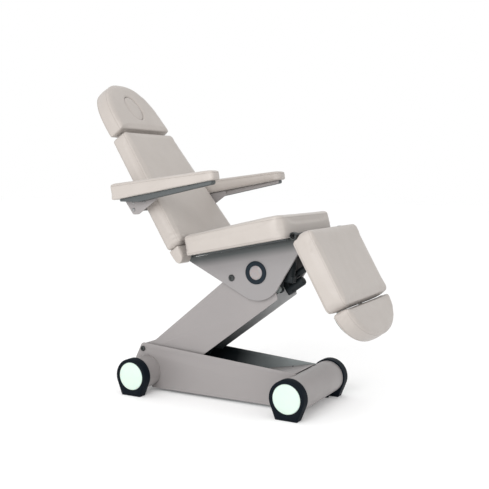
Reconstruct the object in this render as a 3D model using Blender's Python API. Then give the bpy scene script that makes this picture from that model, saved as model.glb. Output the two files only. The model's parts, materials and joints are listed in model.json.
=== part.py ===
"""Facial treatment bed: an electric couch on one lifting arm, in its raised, half-sitting position.

Units are metres, +Z is up, +X points to the foot end, and the patient's right side is at -Y.
The frame's origin is on the floor, below the middle of the whole object.
Base and lifting gear are drawn in the couch's side view, measured from the middle of the wheelbase.
Each padded section is drawn as it lies when the bed is flat (X towards the feet, Z out of the padding)
and is then turned about its own hinge.
"""
import math

import bmesh
import bpy

# ---------------------------------------------------------------- driving dimensions
ORIGIN_TO_WHEELBASE = -0.0258   # middle of the wheelbase, from the frame's origin along X

WHEELBASE = 0.924               # front foot axis to rear foot axis
FOOT_SPAN = 0.568               # over the outer faces of the feet
FOOT_AXIS = 0.106               # height of the feet's round part above the floor
FOOT_RADIUS = 0.0935
FOOT_FLAT = 0.058               # half length of the flat that stands on the floor
FOOT_DEPTH = 0.051
LENS_RADIUS = 0.0743
TUBE_RADIUS = 0.0855
TUBE_WALL = 0.003

SPINE_HALF = 0.128              # outer face of the base's side panels
ARM_HALF = 0.114                # outer face of the lifting arm
CHEEK_HALF = 0.1335             # outer face of the cheek plates
SHEET = 0.005                   # thickness of panels and cheeks
ARM_SHEET = 0.004

ARM_PIVOT = (-0.490, 0.227)     # x, z of the arm's lower pivot
TILT_AXIS = (0.219, 0.689)      # x, z of the arm's upper pivot, about which the seat tilts
LINK_OFFSET = (0.115, -0.060)   # levelling rod's pivots, from the arm's pivots
SEAT_ANGLE = -11.2              # rest angles of the sections about +Y, in degrees
BACK_ANGLE = 54.7
LEG_ANGLE = 61.0
ARMREST_ANGLE = -8.5

BACK_HINGE = (-0.368, 0.142)    # x, z in the seat's frame
LEG_HINGE = (0.3157, 0.1475)    # x, z in the seat's frame
HEAD_HINGE = (-0.757, 0.010)    # x, z in the back's frame
ARMREST_PIVOT = (-0.324, -0.033)

SEAT_HALF = 0.300               # half widths of the padded sections
LEG_HALF = 0.300
FOOT_HALF = 0.285
HEAD_HALF = 0.225
PAD_THICKNESS = 0.086           # padding above its board's level
GAP = 0.0004                    # kept between pieces that touch

PIN = 0.006                     # radius of the actuators' pins
ARM_SHAFT = 0.009               # radius of the cross shaft that the lift actuator pushes on
ROUND = 20                      # sides of small round pieces
FINE = 40                       # sides of the large tubes and feet

# linear actuators: fixed pin and moving pin, x and z in the named section's frame, and their y
LIFT_FOOT = (-0.260, 0.070)
LIFT_HEAD = (0.670, -0.050)
LEG_FOOT = (0.030, -0.100)
LEG_HEAD = (0.120, -0.060)
BACK_FOOT = (0.120, 0.085)
BACK_HEAD = (0.030, -0.060)
BACK_DRIVE_Y = 0.165
TILT_FOOT = (0.111, -0.089)
TILT_HEAD = (0.160, 0.112)
TILT_DRIVE_Y = -0.072
LINK_Y = 0.085

COLOURS = {
    "painted_metal": ((0.43, 0.41, 0.40), 0.45, 0.2),
    "upholstery": ((0.66, 0.62, 0.58), 0.55, 0.0),
    "dark_plastic": ((0.010, 0.015, 0.022), 0.45, 0.0),
    "pale_lens": ((0.85, 0.95, 0.88), 0.30, 0.0),
    "badge_centre": ((0.62, 0.58, 0.58), 0.30, 0.0),
    "steel": ((0.35, 0.35, 0.36), 0.35, 1.0),
    "black_motor": ((0.015, 0.015, 0.017), 0.50, 0.0),
    "plywood": ((0.45, 0.33, 0.20), 0.70, 0.0),
}


# ---------------------------------------------------------------- plane geometry
def turn(point, degrees):
    """Turn (x, z) about +Y, which takes +X towards -Z."""
    a = math.radians(degrees)
    x, z = point
    return (x * math.cos(a) + z * math.sin(a), -x * math.sin(a) + z * math.cos(a))


def place(frame, point):
    """The side-view position of a point given in a section's frame (x, z, angle)."""
    x, z, angle = frame
    dx, dz = turn(point, angle)
    return (x + dx, z + dz)


def arc(centre, radius, start, end, steps):
    """Points on a circle from start to end degrees, counted from +x towards the second axis."""
    points = []
    for i in range(steps + 1):
        a = math.radians(start + (end - start) * i / steps)
        points.append((centre[0] + radius * math.cos(a), centre[1] + radius * math.sin(a)))
    return points


def rounded(corners, steps=4):
    """An outline with each corner (x, y, radius) replaced by an arc."""
    outline = []
    count = len(corners)
    for i, (x, y, radius) in enumerate(corners):
        if radius <= 0:
            outline.append((x, y))
            continue
        ax, ay, _ = corners[i - 1]
        bx, by, _ = corners[(i + 1) % count]
        to_a = math.atan2(ay - y, ax - x)
        to_b = math.atan2(by - y, bx - x)
        opening = (to_b - to_a + math.pi) % (2 * math.pi) - math.pi
        middle = to_a + opening / 2
        reach = radius / math.sin(abs(opening) / 2)
        centre = (x + reach * math.cos(middle), y + reach * math.sin(middle))
        sweep = math.pi - abs(opening)
        side = -1 if opening > 0 else 1
        for k in range(steps + 1):
            a = middle + math.pi - side * sweep / 2 + side * sweep * k / steps
            outline.append((centre[0] + radius * math.cos(a), centre[1] + radius * math.sin(a)))
    return outline


def d_outline(flat_x, tip_x, half_width, power, steps):
    """A D in plan: straight at flat_x, and a rounded end that reaches tip_x."""
    points = []
    for i in range(steps + 1):
        a = math.pi * i / steps
        c, s = math.cos(a), math.sin(a)
        across = math.copysign(abs(c) ** (2 / power), c)
        points.append((flat_x + (tip_x - flat_x) * abs(s) ** (2 / power), half_width * across))
    return points


def ellipse(centre, half_x, half_y, steps):
    return [(centre[0] + half_x * math.cos(2 * math.pi * i / steps),
             centre[1] + half_y * math.sin(2 * math.pi * i / steps)) for i in range(steps)]


# ---------------------------------------------------------------- objects
def clear_scene():
    for item in list(bpy.data.objects):
        bpy.data.objects.remove(item, do_unlink=True)


def paint(name):
    material = bpy.data.materials.get(name)
    if material is None:
        colour, roughness, metallic = COLOURS[name]
        material = bpy.data.materials.new(name)
        material.use_nodes = True
        shader = material.node_tree.nodes["Principled BSDF"]
        shader.inputs["Base Color"].default_value = (*colour, 1.0)
        shader.inputs["Roughness"].default_value = roughness
        shader.inputs["Metallic"].default_value = metallic
    return material


def axis_empty(name, x, z, angle, parent=None):
    """An empty on a joint's axis, turned about +Y; the pieces of one moving section hang from it."""
    empty = bpy.data.objects.new("axis_" + name, None)
    bpy.context.collection.objects.link(empty)
    empty.parent = parent
    empty.location = (x, 0.0, z)
    empty.rotation_euler = (0.0, math.radians(angle), 0.0)
    return empty


def add_object(name, parent, bm, colour):
    bmesh.ops.recalc_face_normals(bm, faces=bm.faces)
    mesh = bpy.data.meshes.new(name)
    bm.to_mesh(mesh)
    bm.free()
    mesh.shade_smooth()
    mesh.set_sharp_from_angle(angle=math.radians(35))
    mesh.materials.append(paint(colour))
    item = bpy.data.objects.new(name, mesh)
    item.parent = parent
    bpy.context.collection.objects.link(item)
    return item


def bevel(item, width, segments=2):
    modifier = item.modifiers.new("edge", "BEVEL")
    modifier.width = width
    modifier.segments = segments
    modifier.limit_method = "ANGLE"
    modifier.angle_limit = math.radians(40)
    return item


def extruded(name, parent, outline, low, high, colour, along="Y"):
    """A prism: an outline in x and z carried along Y, or an outline in x and y carried along Z."""
    bm = bmesh.new()

    def ring(level):
        if along == "Y":
            return [bm.verts.new((p, level, q)) for p, q in outline]
        return [bm.verts.new((p, q, level)) for p, q in outline]

    first, second = ring(low), ring(high)
    bm.faces.new(first)
    bm.faces.new(list(reversed(second)))
    for i in range(len(outline)):
        j = (i + 1) % len(outline)
        bm.faces.new((first[i], first[j], second[j], second[i]))
    return add_object(name, parent, bm, colour)


def box(name, parent, x, y, z, colour):
    """A block between the pairs x, y and z."""
    outline = [(x[0], z[0]), (x[1], z[0]), (x[1], z[1]), (x[0], z[1])]
    return extruded(name, parent, outline, y[0], y[1], colour)


def turned(name, parent, profile, colour, centre=(0.0, 0.0), along="Y", sides=ROUND):
    """A profile of (radius, distance) turned about Y through (x, z), or about X through (y, z).

    A profile that starts and ends at radius 0 is a solid; any other is closed into a ring."""
    bm = bmesh.new()
    solid = profile[0][0] == 0 and profile[-1][0] == 0

    def at(radius, distance, i):
        a = 2 * math.pi * (i + 0.5) / sides
        p, q = centre[0] + radius * math.cos(a), centre[1] + radius * math.sin(a)
        return (p, distance, q) if along == "Y" else (distance, p, q)

    rings = []
    for radius, distance in profile:
        if radius == 0:
            rings.append([bm.verts.new(at(0.0, distance, 0))])
        else:
            rings.append([bm.verts.new(at(radius, distance, i)) for i in range(sides)])
    pairs = list(zip(rings, rings[1:]))
    if not solid:
        pairs.append((rings[-1], rings[0]))
    for lower, upper in pairs:
        for i in range(sides):
            j = (i + 1) % sides
            corners = [lower[i % len(lower)], lower[j % len(lower)], upper[j % len(upper)], upper[i % len(upper)]]
            unique = []
            for corner in corners:
                if corner not in unique:
                    unique.append(corner)
            bm.faces.new(unique)
    return add_object(name, parent, bm, colour)


def shaft(name, parent, radius, low, high, colour, centre=(0.0, 0.0), along="Y", sides=ROUND):
    return turned(name, parent, [(0, low), (radius, low), (radius, high), (0, high)], colour, centre, along, sides)


def boolean(item, other, operation):
    """Cut or add another shape, which is then only a guide."""
    other.hide_render = True
    other.display_type = "WIRE"
    modifier = item.modifiers.new(operation.lower(), "BOOLEAN")
    modifier.operation = operation
    modifier.solver = "EXACT"
    modifier.object = other
    return item


def drill(item, x, z, radius, sides=ROUND, low=-1.0, high=1.0):
    cutter = shaft("cut_" + item.name, item.parent, radius, low, high, "steel", (x, z), sides=sides)
    return boolean(item, cutter, "DIFFERENCE")


def add(item, *others):
    for other in others:
        boolean(item, other, "UNION")
    return item


# ---------------------------------------------------------------- base
def spine_top(x):
    """Height of the base's sloping upper edge."""
    return 0.2325 - 0.086 * x


def base_panels(root):
    """Two upright side panels, cut round the cross tubes, with the arm's pivot in their rear corner."""
    half = WHEELBASE / 2
    rear_top = spine_top(-0.497) - 0.014
    outline = rounded([(-0.430, 0.016, 0), (0.430, 0.016, 0), (0.430, 0.100, 0),
                       (0.440, 0.150, 0), (0.440, spine_top(0.440), 0.003),
                       (-0.497, rear_top, 0.022), (-0.541, 0.172, 0), (-0.500, 0.130, 0)])
    for side, sign in (("right", -1), ("left", 1)):
        faces = sorted((sign * (SPINE_HALF - SHEET), sign * SPINE_HALF))
        panel = extruded("base_side_panel_" + side, root, outline, *faces, "painted_metal")
        for x in (-half, half):
            drill(panel, x, FOOT_AXIS, TUBE_RADIUS + 0.0006, FINE)
        drill(panel, *ARM_PIVOT, 0.0101)


def base_covers(root):
    inner = SPINE_HALF - SHEET - GAP
    box("base_floor_plate", root, (-0.370, 0.370), (-inner, inner), (0.018, 0.022), "painted_metal")
    front, rear, sheet = spine_top(0.432) - 0.0025, 0.143, 0.003
    outline = [(0.170, rear), (0.170, rear - sheet), (0.432, front - sheet), (0.432, front)]
    extruded("base_front_cover", root, outline, -inner, inner, "painted_metal")


def cross_tubes(root):
    reach = FOOT_SPAN / 2 - FOOT_DEPTH - GAP
    profile = [(TUBE_RADIUS, -reach), (TUBE_RADIUS, reach),
               (TUBE_RADIUS - TUBE_WALL, reach), (TUBE_RADIUS - TUBE_WALL, -reach)]
    for end, sign in (("front", 1), ("rear", -1)):
        turned(end + "_cross_tube", root, profile, "painted_metal", (sign * WHEELBASE / 2, FOOT_AXIS), sides=FINE)


def foot_outline_radius(angle):
    """Distance from the foot's axis to its outline: round above, flat on the floor, tangent flanks between."""
    corner = math.hypot(FOOT_FLAT, FOOT_AXIS)
    corner_angle = math.atan2(FOOT_AXIS, FOOT_FLAT)
    tangent_angle = corner_angle - math.acos(FOOT_RADIUS / corner)
    down = math.asin(max(-1.0, min(1.0, -math.sin(angle))))
    if down <= tangent_angle:
        return FOOT_RADIUS
    if down < corner_angle:
        return FOOT_RADIUS / math.cos(down - tangent_angle)
    return FOOT_AXIS / math.sin(down)


def foot_ring(name, root, x, outer_y, inner_y):
    """A dark plastic foot: a flat-bottomed ring that closes the tube's end and holds the lens."""
    corner_angle = math.atan2(FOOT_AXIS, FOOT_FLAT)
    angles = [2 * math.pi * i / FINE for i in range(FINE)]
    angles = [a for a in angles if abs(math.sin(a + corner_angle)) > 0.06 and abs(math.sin(a - corner_angle)) > 0.06]
    angles += [-corner_angle % (2 * math.pi), (math.pi + corner_angle) % (2 * math.pi)]
    angles.sort()
    bm = bmesh.new()
    loops = []
    for level, outer in ((outer_y, True), (inner_y, True), (inner_y, False), (outer_y, False)):
        loop = []
        for a in angles:
            radius = foot_outline_radius(a) if outer else LENS_RADIUS + 0.0015
            loop.append(bm.verts.new((x + radius * math.cos(a), level, FOOT_AXIS + radius * math.sin(a))))
        loops.append(loop)
    for lower, upper in zip(loops, loops[1:] + loops[:1]):
        for i in range(len(angles)):
            j = (i + 1) % len(angles)
            bm.faces.new((lower[i], lower[j], upper[j], upper[i]))
    return add_object(name, root, bm, "dark_plastic")


def feet(root):
    for end, x in (("front", WHEELBASE / 2), ("rear", -WHEELBASE / 2)):
        for side, sign in (("right", -1), ("left", 1)):
            outer, inner = sign * FOOT_SPAN / 2, sign * (FOOT_SPAN / 2 - FOOT_DEPTH)
            foot_ring(f"foot_ring_{end}_{side}", root, x, outer, inner)
            face, back = sign * (FOOT_SPAN / 2 - 0.0015), sign * (FOOT_SPAN / 2 - 0.014)
            profile = [(0, back), (LENS_RADIUS, back), (LENS_RADIUS, face - sign * 0.004),
                       (LENS_RADIUS - 0.006, face), (0, face)]
            turned(f"foot_lens_{end}_{side}", root, profile, "pale_lens", (x, FOOT_AXIS), sides=32)


def base_pins(root):
    head, reach = 0.0145, SPINE_HALF + GAP
    profile = [(0, -reach - 0.006), (head - 0.003, -reach - 0.006), (head, -reach - 0.003), (head, -reach),
               (0.0095, -reach), (0.0095, reach), (head, reach), (head, reach + 0.003),
               (head - 0.003, reach + 0.006), (0, reach + 0.006)]
    turned("arm_pivot_pin", root, profile, "steel", ARM_PIVOT)
    link = (ARM_PIVOT[0] + LINK_OFFSET[0], ARM_PIVOT[1] + LINK_OFFSET[1])
    floor = 0.022 + GAP
    bracket = box("base_bracket", root, (-0.366, -0.225), (-0.040, 0.122), (floor, floor + 0.006), "steel")
    for y in (-0.026, 0.020):
        plate = extruded("guide", root, [(-0.290, floor), (-0.230, floor), (-0.245, 0.085), (-0.275, 0.085)],
                         y, y + 0.006, "steel")
        add(bracket, plate)
    add(bracket, shaft("guide", root, PIN, -0.023, 0.023, "steel", LIFT_FOOT))
    for y in (0.070, 0.096):
        upright = [(-0.366, floor), (-0.330, floor), (link[0] + 0.014, link[1] + 0.013),
                   (link[0] - 0.012, link[1] + 0.013), (link[0] - 0.012, link[1]), (-0.3725, 0.106)]
        plate = extruded("guide", root, upright, y, y + 0.005, "steel")
        add(bracket, plate)
    add(bracket, shaft("guide", root, 0.007, 0.073, 0.098, "steel", link))


# ---------------------------------------------------------------- lifting gear
def arm_top(s):
    """The arm's upper edge above the line through its pivots, s metres from the lower pivot."""
    return -0.0056 + 0.1041 * s


def arm_bottom(s):
    return -0.2267 + 0.0634 * s


def lift_arm(arm, length):
    """A deep inverted U of folded sheet, open below and at its upper end."""
    top_end = 0.080
    outline = arc((0, 0), 0.028, 250, 100, 6)
    outline += [(0.090, arm_top(0.090))]
    outline += arc((length, 0), top_end, 96, -20, 8)
    outline += [(0.868, arm_bottom(0.868)), (0.300, arm_bottom(0.300)), (0.178, -0.120)]
    shell = extruded("lift_arm", arm, outline, -ARM_HALF, ARM_HALF, "painted_metal")
    open_from = length - 0.110
    inside = [(-0.200, -0.500), (1.100, -0.500), (1.100, 0.300), (open_from, 0.300),
              (open_from, arm_top(open_from) - ARM_SHEET), (0.030, arm_top(0.030) - ARM_SHEET - 0.002),
              (-0.200, -0.050)]
    hollow = extruded("guide", arm, inside, ARM_SHEET - ARM_HALF, ARM_HALF - ARM_SHEET, "steel")
    boolean(shell, hollow, "DIFFERENCE")
    drill(shell, 0.0, 0.0, 0.0101)
    drill(shell, length, 0.0, 0.0206)
    inner = ARM_HALF - ARM_SHEET / 2
    add(shell, shaft("guide", arm, ARM_SHAFT, -inner, inner, "steel", LIFT_HEAD))


def levelling_rod(link, length):
    """The parallel rod that keeps the seat carrier level; an eye at each end."""
    low, high = LINK_Y - 0.006, LINK_Y + 0.006
    eye = [(0.0145, low), (0.0145, high), (0.0076, high), (0.0076, low)]
    rod = turned("levelling_rod", link, eye, "steel")
    bar = shaft("guide", link, 0.0075, 0.0115, length - 0.0115, "steel", (LINK_Y, 0.0), along="X", sides=12)
    far = turned("guide", link, eye, "steel", (length, 0.0))
    add(rod, bar, far)


def carrier_parts(carrier):
    """The shaft at the arm's upper end, with one crank for the levelling rod and one for the tilt drive."""
    item = shaft("seat_carrier", carrier, 0.0200, -CHEEK_HALF + 0.0005, CHEEK_HALF - 0.0005, "steel")
    link = rounded([(-0.030, 0.030, 0.02), (0.030, 0.030, 0.02),
                    (LINK_OFFSET[0] + 0.016, LINK_OFFSET[1] + 0.006, 0.012),
                    (LINK_OFFSET[0] - 0.006, LINK_OFFSET[1] - 0.016, 0.012), (-0.030, -0.016, 0.02)], 3)
    for y in (LINK_Y - 0.0135, LINK_Y + 0.0085):
        add(item, extruded("guide", carrier, link, y, y + 0.005, "steel"))
    add(item, shaft("guide", carrier, 0.007, LINK_Y - 0.010, LINK_Y + 0.010, "steel", LINK_OFFSET))
    tilt = rounded([(-0.030, 0.028, 0.02), (0.028, 0.028, 0.02), (TILT_FOOT[0] + 0.016, TILT_FOOT[1] + 0.006, 0.012),
                    (TILT_FOOT[0] - 0.006, TILT_FOOT[1] - 0.016, 0.012), (-0.030, -0.016, 0.02)], 3)
    for y in (TILT_DRIVE_Y - 0.018, TILT_DRIVE_Y + 0.013):
        add(item, extruded("guide", carrier, tilt, y, y + 0.005, "steel"))
    add(item, shaft("guide", carrier, PIN, TILT_DRIVE_Y - 0.015, TILT_DRIVE_Y + 0.015, "steel", TILT_FOOT))


def actuator(name, parent, length, mouth, tail, y, motor_side, pin, slack):
    """A linear drive lying along its frame's X: housing, gear block and motor, and a rod with an eye.

    The housing ends at mouth, and the rod starts at tail inside it, so that it never leaves it or reaches its bottom.
    The rod's eye has slack round its pin where the drive closes a linkage."""
    low, high = y - 0.010, y + 0.010
    body = turned(name + "_actuator", parent,
                  [(0, 0.010), (0.0110, 0.010), (0.0110, 0.052), (0.0170, 0.056), (0.0170, mouth), (0.0125, mouth),
                   (0.0125, 0.086), (0, 0.086)], "black_motor", (y, 0.0), along="X", sides=16)
    block = bevel(box("guide", parent, (0.048, 0.084), (y - 0.022, y + 0.022),
                      sorted((-motor_side * 0.020, motor_side * 0.070)), "black_motor"), 0.004, 1)
    motor = turned("guide", parent, [(0, 0.056), (0.0240, 0.056), (0.0240, 0.150), (0.0200, 0.158), (0, 0.158)],
                   "black_motor", (y, motor_side * 0.0440), along="X", sides=16)
    eye = turned("guide", parent, [(0.0145, low), (0.0145, high), (PIN + 0.0012, high), (PIN + 0.0012, low)],
                 "black_motor", sides=16)
    add(body, block, motor, eye)
    hole = pin + slack
    rod = shaft(name + "_actuator_rod", parent, 0.0095, tail, length - hole - 0.002, "steel",
                (y, 0.0), along="X", sides=12)
    ring = turned("guide", parent, [(hole + 0.007, low), (hole + 0.007, high), (hole, high), (hole, low)], "steel",
                  (length, 0.0))
    add(rod, ring)


# ---------------------------------------------------------------- seat
def cheeks(seat):
    """The pick-shaped side plates that carry the seat on the tilt axis and reach back to the back's hinge."""
    pick = 0.142
    top = BACK_HINGE[1] - 0.0095
    rear = 0.030
    outline = arc((0, 0), pick, -124.5, -38.7, 12)
    outline += [(0.3035, top - 0.012), (0.298, top)]
    outline += [(BACK_HINGE[0] + 0.028, top)]
    outline += arc(BACK_HINGE, rear, 60, 235, 8)
    for side, sign in (("right", -1), ("left", 1)):
        faces = sorted((sign * (CHEEK_HALF - SHEET), sign * CHEEK_HALF))
        plate = extruded("cheek_plate_" + side, seat, outline, *faces, "painted_metal")
        drill(plate, 0.0, 0.0, 0.0206)
        drill(plate, *BACK_HINGE, 0.0086)
        near = CHEEK_HALF + GAP
        ring = [(0.0365, sign * near), (0.0365, sign * (near + 0.0050)), (0.0380, sign * (near + 0.0062)),
                (0.0560, sign * (near + 0.0062)), (0.0590, sign * (near + 0.0035)), (0.0590, sign * near)]
        turned("badge_ring_" + side, seat, ring, "dark_plastic", sides=32)
        lens = [(0, sign * near), (0.0358, sign * near), (0.0358, sign * (near + 0.0030)),
                (0.0300, sign * (near + 0.0048)), (0, sign * (near + 0.0052))]
        turned("badge_lens_" + side, seat, lens, "badge_centre", sides=32)
        bolt = [(0, sign * near), (0.0135, sign * near), (0.0135, sign * (near + 0.0040)),
                (0.0110, sign * (near + 0.0065)), (0, sign * (near + 0.0065))]
        turned("cheek_bolt_" + side, seat, bolt, "steel", turn((-0.141, -0.035), -SEAT_ANGLE))


def seat_frame(seat):
    """A steel tray under the cushion, with the hinge lugs and the drives' brackets."""
    top = BACK_HINGE[1] - 0.0005
    under = BACK_HINGE[1] - 0.0085
    frame = box("seat_frame", seat, (-0.250, 0.255), (-0.250, 0.250), (under, top), "steel")
    lug = rounded([(0.200, under + 0.004, 0), (0.225, under - 0.016, 0.01), (LEG_HINGE[0] + 0.006, LEG_HINGE[1] - 0.017, 0.01),
                   (LEG_HINGE[0] + 0.016, LEG_HINGE[1] + 0.004, 0.01), (LEG_HINGE[0] - 0.004, LEG_HINGE[1] + 0.014, 0.01),
                   (0.2945, 0.1410, 0), (0.250, under + 0.004, 0)], 3)
    for y in (-0.090, 0.082):
        add(frame, extruded("guide", seat, lug, y, y + 0.008, "steel"))
    hanger = [(0.034, under + 0.004), (0.100, under + 0.004), (0.055, -0.113), (0.012, -0.113), (0.030, -0.030)]
    for y in (-0.038, 0.032):
        add(frame, extruded("guide", seat, hanger, y, y + 0.006, "steel"))
    add(frame, shaft("guide", seat, PIN, -0.035, 0.035, "steel", LEG_FOOT))
    for foot, y in ((TILT_HEAD, TILT_DRIVE_Y), (BACK_FOOT, BACK_DRIVE_Y)):
        ear = [(foot[0] - 0.016, under + 0.004), (foot[0] - 0.012, foot[1] - 0.012),
               (foot[0] + 0.012, foot[1] - 0.012), (foot[0] + 0.016, under + 0.004)]
        for level in (y - 0.019, y + 0.013):
            add(frame, extruded("guide", seat, ear, level, level + 0.006, "steel"))
        add(frame, shaft("guide", seat, PIN, y - 0.016, y + 0.016, "steel", foot))
    drill(frame, *LEG_HINGE, 0.0086)
    end, step, mouth, depth = 0.286, 0.100, 0.0085, 0.020
    turned("leg_hinge_rod", seat, [(0, depth - end), (mouth, depth - end), (mouth, -end), (0.0115, -end), (0.0115, -step),
                                   (0.0080, -step), (0.0080, step), (0.0115, step), (0.0115, end), (mouth, end),
                                   (mouth, end - depth), (0, end - depth)], "steel", LEG_HINGE)
    head, reach = 0.0135, CHEEK_HALF + GAP
    profile = [(0, -reach - 0.005), (head, -reach - 0.005), (head, -reach), (0.0080, -reach), (0.0080, reach),
               (head, reach), (head, reach + 0.005), (0, reach + 0.005)]
    turned("back_hinge_pin", seat, profile, "steel", BACK_HINGE)


def seat_cushion(seat):
    """Side profile: level under and crowned above, with a full front edge under the knees."""
    low = BACK_HINGE[1]
    profile = rounded([(-0.294, low, 0.006), (0.276, low, 0.010), (0.276, low + 0.106, 0.024),
                       (0.170, low + 0.111, 0.120), (0.040, low + 0.113, 0.200), (-0.292, low + 0.103, 0.020)])
    bevel(extruded("seat_cushion", seat, profile, -SEAT_HALF, SEAT_HALF, "upholstery"), 0.014, 2)


# ---------------------------------------------------------------- backrest, headrest, armrests
def back_parts(back):
    board = rounded([(-0.720, -0.192, 0.02), (-0.050, -0.252, 0.02), (-0.050, 0.252, 0.02), (-0.720, 0.192, 0.02)], 2)
    extruded("back_board", back, board, -0.0220, -0.0080, "plywood", along="Z")
    plan = rounded([(-0.749, -0.228, 0.045), (-0.045, -0.300, 0.026), (-0.045, 0.300, 0.026), (-0.749, 0.228, 0.045)])
    bevel(extruded("back_cushion", back, plan, -0.0075, PAD_THICKNESS, "upholstery", along="Z"), 0.014, 2)
    profile = rounded([(-0.0440, -0.022, 0.004), (0.020, -0.022, 0.020), (0.040, 0.010, 0.020),
                       (0.030, 0.050, 0.016), (-0.0440, 0.056, 0.004)])
    cover = extruded("back_hinge_cover", back, profile, -0.290, -0.195, "upholstery")
    add(cover, extruded("guide", back, profile, 0.195, 0.290, "upholstery"),
        box("guide", back, (-0.0440, 0.020), (-0.200, 0.200), (0.0340, 0.0530), "upholstery"))
    frame = box("back_frame", back, (-0.290, -0.060), (-0.185, 0.185), (-0.0300, -0.0224), "steel")
    lug = rounded([(-0.020, -0.034, 0.010), (0.018, -0.020, 0.016), (0.018, 0.018, 0.016), (-0.016, 0.018, 0.014),
                   (-0.038, -0.0232, 0), (-0.110, -0.0232, 0), (-0.110, -0.0295, 0)], 3)
    for y in (-0.124, 0.118):
        add(frame, extruded("guide", back, lug, y, y + 0.006, "steel"))
    crank = [(-0.100, -0.026), (-0.065, -0.026), (0.042, -0.058), (0.040, -0.072), (0.020, -0.074), (-0.100, -0.045)]
    for y in (BACK_DRIVE_Y - 0.018, BACK_DRIVE_Y + 0.012):
        add(frame, extruded("guide", back, crank, y, y + 0.006, "steel"))
    add(frame, shaft("guide", back, PIN, BACK_DRIVE_Y - 0.015, BACK_DRIVE_Y + 0.015, "steel", BACK_HEAD))
    drill(frame, 0.0, 0.0, 0.0086)
    shaft("armrest_axle", back, 0.0090, -0.3445, 0.3445, "steel", ARMREST_PIVOT)
    bracket = box("head_hinge_bracket", back, (-0.760, -0.640), (-0.045, 0.045), (-0.0300, -0.0224), "steel")
    tab = box("guide", back, (-0.7600, -0.7540), (-0.045, 0.045), (-0.0290, HEAD_HINGE[1]), "steel")
    barrel = shaft("guide", back, 0.0055, -0.100, 0.100, "steel", HEAD_HINGE, sides=12)
    add(bracket, tab, barrel)


def head_parts(head):
    """The headrest in its own frame: a D with a face opening that an oval plug closes."""
    near, tip = -0.013, -0.330
    hole = (-0.160, 0.0)
    level = -HEAD_HINGE[1]
    plan = d_outline(near, tip, HEAD_HALF, 2.5, 22)
    cushion = bevel(extruded("head_cushion", head, plan, level - 0.0075, level + PAD_THICKNESS, "upholstery",
                             along="Z"), 0.016, 2)
    board = extruded("head_board", head, d_outline(near - 0.016, tip + 0.034, HEAD_HALF - 0.034, 2.5, 16),
                     level - 0.0220, level - 0.0080, "plywood", along="Z")
    for item, margin in ((cushion, 0.0012), (board, 0.0030)):
        cutter = extruded("cut_" + item.name, head, ellipse(hole, 0.081 + margin, 0.062 + margin, 28),
                          -0.3, 0.3, "steel", along="Z")
        boolean(item, cutter, "DIFFERENCE")
    extruded("face_plug", head, ellipse(hole, 0.081, 0.062, 28), level - 0.0200, level + PAD_THICKNESS,
             "upholstery", along="Z")
    hinge = turned("head_hinge_strap", head, [(0.0078, 0.052), (0.0078, 0.090), (0.0060, 0.090), (0.0060, 0.052)],
                   "steel", sides=12)
    plate = box("guide", head, (-0.0098, -0.0070), (0.052, 0.090), (level - 0.0290, 0.002), "steel")
    tail = box("guide", head, (-0.0700, -0.0075), (0.052, 0.090), (level - 0.0290, level - 0.0224), "steel")
    add(hinge, plate, tail)


def armrest_parts(rest, side, sign):
    """A wedge-shaped pad on a folded tray whose ear turns on the axle behind the back."""
    def faces(inner, outer):
        return sorted((sign * inner, sign * outer))

    pad = rounded([(-0.093, 0.0624, 0.012), (0.524, 0.0779, 0.012), (0.530, 0.1240, 0.016), (-0.093, 0.1450, 0.014)])
    bevel(extruded("armrest_pad_" + side, rest, pad, *faces(0.309, 0.402), "upholstery"), 0.010, 2)
    tray = extruded("armrest_tray_" + side, rest,
                    rounded([(-0.048, 0.0620, 0), (-0.048, 0.0500, 0.006), (0.060, 0.0340, 0.02), (0.508, 0.0590, 0.01),
                             (0.508, 0.0765, 0)], 2), *faces(0.328, 0.383), "painted_metal")
    ear = rounded([(-0.048, 0.0520, 0), (-0.008, -0.024, 0.018), (0.026, -0.027, 0.018), (0.166, 0.0420, 0)], 3)
    add(tray, extruded("guide", rest, ear, *faces(0.334, 0.340), "painted_metal"))
    drill(tray, 0.0, 0.0, 0.0096)


# ---------------------------------------------------------------- leg rest and foot rest
def leg_parts(leg):
    board = rounded([(0.034, -0.295, 0.045), (0.401, -0.295, 0.042), (0.401, 0.295, 0.042), (0.034, 0.295, 0.045)], 3)
    extruded("leg_board", leg, board, -0.0200, -0.0080, "upholstery", along="Z")
    plan = rounded([(0.003, -LEG_HALF, 0.050), (0.405, -LEG_HALF, 0.045), (0.405, LEG_HALF, 0.045),
                    (0.003, LEG_HALF, 0.050)])
    cushion = bevel(extruded("leg_cushion", leg, plan, -0.0075, 0.0915, "upholstery", along="Z"), 0.022, 3)
    drill(cushion, 0.0, 0.0, 0.0250)
    frame = box("leg_frame", leg, (0.050, 0.190), (-0.066, 0.066), (-0.0280, -0.0204), "steel")
    lug = rounded([(-0.014, 0.012, 0.012), (-0.014, -0.014, 0.012), (0.105, -0.076, 0.012), (0.142, -0.068, 0.012),
                   (0.185, -0.0225, 0), (0.030, -0.0225, 0), (0.014, 0.010, 0.010)], 3)
    for side in (-1, 1):
        add(frame, extruded("guide", leg, lug, *sorted((side * 0.014, side * 0.022)), "steel"))
        add(frame, shaft("guide", leg, 0.0090, *sorted((side * 0.020, side * 0.028)), "steel", LEG_HEAD))
    drill(frame, 0.0, 0.0, 0.0086)


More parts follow.
